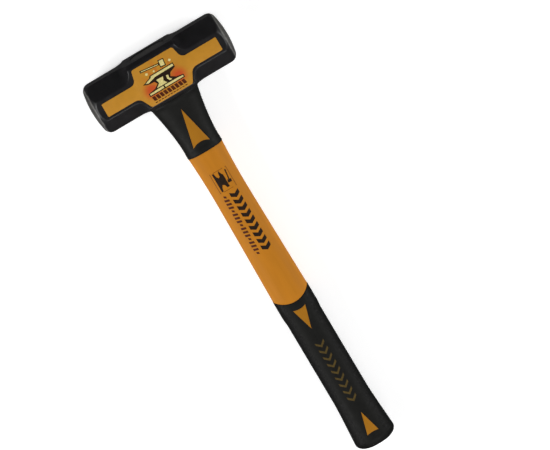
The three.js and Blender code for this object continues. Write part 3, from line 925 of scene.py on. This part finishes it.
class HAMMER_OT_label(bpy.types.Operator):
    """Cuts the label's outline from a grid and raises it to its thickness"""
    bl_idname = "hammer.label"
    bl_label = "Label"

    def execute(self, context):
        sizes = context.scene.hammer_label
        top, foot = LABEL_LOW.x, LABEL_HIGH.x
        arm_end = LABEL_HIGH.y
        label = start("label_film_cut", bpy.ops.mesh.primitive_grid_add, x_subdivisions=3,
                      y_subdivisions=3, size=2)
        middle = (top + foot) / 2
        rows = [top, middle - sizes.arm_half, middle + sizes.arm_half, foot]
        edit(label)
        pick(label, "FACE", lambda f: abs(f.calc_center_median().x) > 0.5
             and abs(f.calc_center_median().y) > 0.5)
        bpy.ops.mesh.delete(type="FACE")
        mesh = bmesh.from_edit_mesh(label.data)
        for vertex in mesh.verts:
            row = round((vertex.co.x + 1) * 1.5)
            column = round((vertex.co.y + 1) * 1.5)
            side = -1 if column < 2 else 1
            widening = {0: 0, 1: sizes.top_slope, 2: sizes.foot_slope, 3: 0}[row]
            reach = arm_end if column in (0, 3) else sizes.corner_reach + widening
            vertex.co = (rows[row], side * reach, LABEL_LOW.z)
        bmesh.update_edit_mesh(label.data)
        bpy.ops.mesh.select_all(action="SELECT")
        bpy.ops.mesh.dissolve_faces()
        self.round_corners(label, sizes.shoulder, lambda v: abs(v.co.y) < arm_end - MM
                           and abs(abs(v.co.x - middle) - sizes.arm_half) < CLOSE, 10)
        self.round_corners(label, sizes.corner, lambda v: abs(v.co.y) > arm_end - CLOSE, 4)
        self.round_corners(label, sizes.panel_corner,
                           lambda v: v.co.x < top + CLOSE or v.co.x > foot - CLOSE, 6)
        bpy.ops.mesh.select_all(action="SELECT")
        thickness = LABEL_HIGH.z - LABEL_LOW.z
        bpy.ops.mesh.extrude_region_move(TRANSFORM_OT_translate={"value": (0, 0, thickness)})
        done()
        round_edges(label, LABEL_EDGE, 60)
        hand_over(label, printed_film(context.scene.hammer_colours), "label_film", "cheek_label")
        return {"FINISHED"}

    def round_corners(self, label, radius, test, segments):
        """Rounds the corners of the outline that pass a test."""
        pick(label, "VERT", test)
        bpy.ops.mesh.bevel(affect="VERTICES", offset=radius, segments=segments, profile=0.5)


def ink_patch(corners, z):
    """A flat patch of ink with these corners, given as (x, y) in millimetres."""
    patch = start("ink", bpy.ops.mesh.primitive_circle_add, vertices=len(corners), radius=1,
                  fill_type="NGON")
    edit(patch)
    mesh = bmesh.from_edit_mesh(patch.data)
    for vertex, (x, y) in zip(mesh.verts, corners):
        vertex.co = (x * MM, y * MM, z)
    bmesh.update_edit_mesh(patch.data)
    done()
    return patch


def upright(x, y, corners):
    """Turns corners drawn as (right, up) into (x, y) on the hammer held head up."""
    return [(x - up, y + right) for right, up in corners]


def crosswise(corners):
    """Turns corners drawn along the handle to run along the head."""
    return [(x, y) for y, x in corners]


def row(first, last, count):
    """The middles of a row of evenly spaced marks, and the pitch between them."""
    pitch = (last - first) / count
    return [first + pitch * (mark + 0.5) for mark in range(count)], pitch


def slab(x, y, long, wide, lean=0):
    """The corners of a slanted block whose middle is at (x, y)."""
    half_long, half_wide, half_lean = long / 2, wide / 2, lean / 2
    return [(x - half_long + half_lean, y + half_wide), (x - half_long - half_lean, y - half_wide),
            (x + half_long - half_lean, y - half_wide), (x + half_long + half_lean, y + half_wide)]


def chevron(x, y, long, wide, thick):
    """The corners of an arrowhead that points down the handle."""
    half = wide / 2
    return [(x - long / 2, y - half), (x - long / 2 + thick, y - half), (x + long / 2, y),
            (x - long / 2 + thick, y + half), (x - long / 2, y + half),
            (x + long / 2 - thick, y)]


# The emblem, drawn in millimetres as (right, up) from its middle.
ANVIL = [(-18, 0.2), (-10, 3.2), (-9, 4.8), (14.5, 4.8), (14.5, 0.6), (8.5, -1.8), (6.8, -4.8),
         (11, -7.6), (17.5, -8.8), (17.5, -11.8), (-17.5, -11.8), (-17.5, -8.8), (-10.5, -7.6),
         (-6.2, -4.8), (-7.8, -2), (-13.5, -1.6)]
SLEDGE = [(3, 6.2), (8.4, 5.6), (9.2, 12.4), (3.8, 13)]
SLEDGE_HANDLE = [(3.3, 8.6), (3.5, 10.6), (-14.5, 12.8), (-14.8, 10.6)]
EMBLEM_LIGHTS = [
    [(-15.6, 0.4), (-9.2, 2.5), (-8, 3.9), (13.6, 3.9), (13.6, 1.9), (-5, 1.6), (-12.5, -0.6)],
    [(-5.6, -1.4), (1, -1.4), (-0.4, -5), (1.8, -8), (-8.6, -8), (-4.8, -5)],
    [(3.6, -2.2), (5.8, -2.6), (5, -5), (7, -7.6), (4.6, -7.6), (3.2, -5)],
    [(-16.6, -9.3), (-3, -8.9), (-3, -10.9), (-16.6, -10.9)],
    [(-1.6, -8.9), (12.5, -9.1), (16.6, -9.6), (16.6, -10.9), (-1.6, -10.9)],
    [(3.9, 7), (7.7, 6.6), (8.3, 11.7), (4.5, 12.1)],
    [(2.5, 9.3), (2.6, 9.9), (-13.7, 12), (-13.8, 11.3)],
    [(-10.5, 8.6), (-8.9, 7.2), (-10.5, 5.8), (-12.1, 7.2)],
    [(-3.6, 7.4), (-2.5, 6.4), (-3.6, 5.4), (-4.7, 6.4)],
    [(13, 9.4), (14.6, 8), (13, 6.6), (11.4, 8)],
]


class HAMMER_OT_label_print(bpy.types.Operator):
    """Prints an anvil and a sledge on the label, with plain bars beneath"""
    bl_idname = "hammer.label_print"
    bl_label = "Label print"

    def execute(self, context):
        ink = context.scene.hammer_label.ink
        colours = context.scene.hammer_colours
        z = LABEL_HIGH.z
        # Places along the handle, in millimetres from the middle of the head.
        emblem_x, bars_x, dashes_x = -1.2, 13.6, 17.3
        dark = [ink_patch(upright(emblem_x, 0, corners), z)
                for corners in (ANVIL, SLEDGE, SLEDGE_HANDLE)]
        pale = [ink_patch(upright(emblem_x, 0, corners), z + ink) for corners in EMBLEM_LIGHTS]
        places, pitch = row(-16.7, 16.7, 9)
        bars = [slab(at, bars_x, pitch - 0.8, 4.2, 0.9) for at in places]
        places, pitch = row(-16.5, 16.5, 11)
        dashes = [slab(at, dashes_x, pitch - 0.9, 0.8) for at in places]
        brown = [ink_patch(crosswise(corners), z) for corners in bars + dashes]
        printed = [
            ("label_ink_dark", dark, "screen_ink_dark", colours.ink_black),
            ("label_ink_pale", pale, "screen_ink_pale", colours.ink_pale),
            ("label_ink_brown", brown, "screen_ink_brown", colours.ink_brown),
        ]
        for name, patches, finish, tone in printed:
            piece = join(name, patches)
            edit(piece)
            bpy.ops.mesh.extrude_region_move(TRANSFORM_OT_translate={"value": (0, 0, ink)})
            hand_over(piece, printed_ink(finish, tone, 0.4), "label_film")
        return {"FINISHED"}


def wrap_print(name, patches, target, ink, tone, finish, slot):
    """Joins patches of ink and lays them on the front of a curved moulding."""
    piece = join(name, patches)
    edit(piece)
    bpy.ops.mesh.quads_convert_to_tris()
    bpy.ops.mesh.subdivide(number_cuts=3)
    done()
    modify(piece, "SHRINKWRAP", target=target, wrap_method="PROJECT", use_project_z=True,
           use_negative_direction=True, use_positive_direction=False, offset=1.5 * ink)
    modify(piece, "SOLIDIFY", thickness=1.5 * ink, offset=0)
    hand_over(piece, printed_ink(finish, tone, 0.5), slot)


class HAMMER_OT_shaft_print(bpy.types.Operator):
    """Prints a framed mark, a row of arrowheads and a row of dashes down the shaft"""
    bl_idname = "hammer.shaft_print"
    bl_label = "Shaft print"

    def execute(self, context):
        ink = context.scene.hammer_label.ink
        colours = context.scene.hammer_colours
        target = bpy.data.objects["shaft_moulding"]
        z = HEAD_HIGH.z
        # The frame's edges and its line, in millimetres.
        left, right, top, foot = -8.1, 7.8, 98.6, 118.0
        line = 0.35
        middle_x, middle_y = (top + foot) / 2, (left + right) / 2
        frame_lines = [
            slab(top, middle_y, line, right - left),
            slab(foot, middle_y, line, right - left),
            slab(middle_x, left, foot - top, line),
            slab(middle_x, right, foot - top, line),
        ]
        scale = 0.52             # of the label's emblem
        mark = [[(middle_x + scale * x, middle_y + scale * y) for x, y in corners]
                for corners in (ANVIL, SLEDGE, SLEDGE_HANDLE)]
        light = [ink_patch(corners, z) for corners in frame_lines]
        heavy = [ink_patch(corners, z) for corners in mark]
        first, last = 120.8, 181.6
        chevrons_y, ticks_y = 2.75, -6.4
        places, pitch = row(first, last, 9)
        for at in places:
            heavy.append(ink_patch(chevron(at, chevrons_y, pitch - 0.3, 8.7, 3.9), z))
        places, pitch = row(first, last, 17)
        for tick, at in enumerate(places):
            wide = 4.4 if tick % 4 else 2.2
            light.append(ink_patch(slab(at, ticks_y, pitch - 1.5, wide, 1.1), z))
        wrap_print("shaft_ink_heavy", heavy, target, ink, colours.ink_black,
                   "screen_ink_black", "yellow_plastic")
        wrap_print("shaft_ink_light", light, target, ink, colours.ink_brown,
                   "screen_ink_red_brown", "yellow_plastic")
        return {"FINISHED"}


class HAMMER_OT_grip_mark(bpy.types.Operator):
    """Prints a faint row of gold arrowheads down the grip"""
    bl_idname = "hammer.grip_mark"
    bl_label = "Grip mark"

    def execute(self, context):
        ink = context.scene.hammer_label.ink
        places, pitch = row(274.6, 337.6, 9)
        marks_y = -0.2
        patches = [ink_patch(chevron(at, marks_y, pitch - 0.8, 8.6, 2.4), HEAD_HIGH.z)
                   for at in places]
        wrap_print("grip_ink_gold", patches, bpy.data.objects["grip_moulding"], ink,
                   context.scene.hammer_colours.gold, "pad_printed_gold", "black_rubber")
        return {"FINISHED"}


class HAMMER_OT_stage(bpy.types.Operator):
    """Lays the pale floor under the hammer as it rests, and lights it softly"""
    bl_idname = "hammer.stage"
    bl_label = "Stage"

    def execute(self, context):
        # The floor touches the cheek's lower edge and the underside of the butt.
        cheek_x = HEAD_HIGH.x - context.scene.hammer_head.block_chamfer
        butt_x = GRIP_HIGH.x - context.scene.hammer_handle.butt_round
        slope = math.atan2(GRIP_LOW.z - HEAD_LOW.z, butt_x - cheek_x)
        middle_x = 0.17
        floor = start("floor", bpy.ops.mesh.primitive_plane_add, size=12,
                      location=(middle_x, 0, math.tan(slope) * (middle_x - cheek_x)),
                      rotation=(0, -slope, 0))
        # Opal acrylic, lit from below: an even, nearly shadowless white.
        material, tree, shader, place = new_finish("backlit_opal_acrylic", Roughness=0.9,
                                                   Specular_IOR_Level=0.1,
                                                   Emission_Color=(1, 1, 1, 1),
                                                   Emission_Strength=0.55)
        tone = tinted_noise(tree, place, context.scene.hammer_colours.floor, 60, 0.995, 1.005)
        tree.links.new(tone, shader.inputs["Base Color"])
        floor.data.materials.append(material)
        # The black mouldings don't mirror the floor, but the dim room beneath it.
        floor.visible_glossy = False
        floor.visible_shadow = False

        world = bpy.data.worlds.new("studio")
        world.use_nodes = True
        background = world.node_tree.nodes["Background"]
        background.inputs["Color"].default_value = (1, 1, 1, 1)
        background.inputs["Strength"].default_value = 0.09
        context.scene.world = world
        aim = Vector((middle_x, 0, 0.02))
        lights = [
            # name, place in metres, power in watts
            ("key", (0.1, -3.0, 1.9), 115),
            ("fill", (0.2, 3.0, 1.9), 90),
            ("foot", (3.1, 0.0, 2.2), 42),
        ]
        for name, place, power in lights:
            data = bpy.data.lights.new(name, "AREA")
            data.size = 2.0
            data.energy = power
            lamp = bpy.data.objects.new(name, data)
            context.scene.collection.objects.link(lamp)
            lamp.location = place
            lamp.rotation_euler = (aim - lamp.location).to_track_quat("-Z", "Y").to_euler()
        context.scene.view_settings.view_transform = "Standard"
        context.scene.view_settings.look = "None"
        return {"FINISHED"}


class HAMMER_PT_parts(bpy.types.Panel):
    """Buttons for each group of pieces, in the order they are made"""
    bl_idname = "HAMMER_PT_parts"
    bl_label = "Sledgehammer"
    bl_space_type = "VIEW_3D"
    bl_region_type = "UI"
    bl_category = "Sledgehammer"

    def draw(self, context):
        for maker in MAKERS:
            self.layout.operator(maker.bl_idname)


MAKERS = (
    HAMMER_OT_camera, HAMMER_OT_head, HAMMER_OT_eye, HAMMER_OT_shaft, HAMMER_OT_guard,
    HAMMER_OT_grip, HAMMER_OT_label, HAMMER_OT_label_print, HAMMER_OT_shaft_print,
    HAMMER_OT_grip_mark, HAMMER_OT_stage,
)
GROUPS = {
    "hammer_head": HeadSizes,
    "hammer_handle": HandleSizes,
    "hammer_inlays": InlaySizes,
    "hammer_label": LabelSizes,
    "hammer_colours": Colours,
}


def register():
    for group in (*GROUPS.values(), *MAKERS, HAMMER_PT_parts):
        bpy.utils.register_class(group)
    for name, group in GROUPS.items():
        setattr(bpy.types.Scene, name, bpy.props.PointerProperty(type=group))


def unregister():
    for name in GROUPS:
        delattr(bpy.types.Scene, name)
    for group in reversed((*GROUPS.values(), *MAKERS, HAMMER_PT_parts)):
        bpy.utils.unregister_class(group)


def main():
    register()
    bpy.ops.hammer.camera()
    bpy.ops.hammer.head()
    bpy.ops.hammer.eye()
    bpy.ops.hammer.shaft()
    bpy.ops.hammer.guard()
    bpy.ops.hammer.grip()
    bpy.ops.hammer.label()
    bpy.ops.hammer.label_print()
    bpy.ops.hammer.shaft_print()
    bpy.ops.hammer.grip_mark()
    bpy.ops.hammer.stage()


if __name__ == "__main__":
    main()
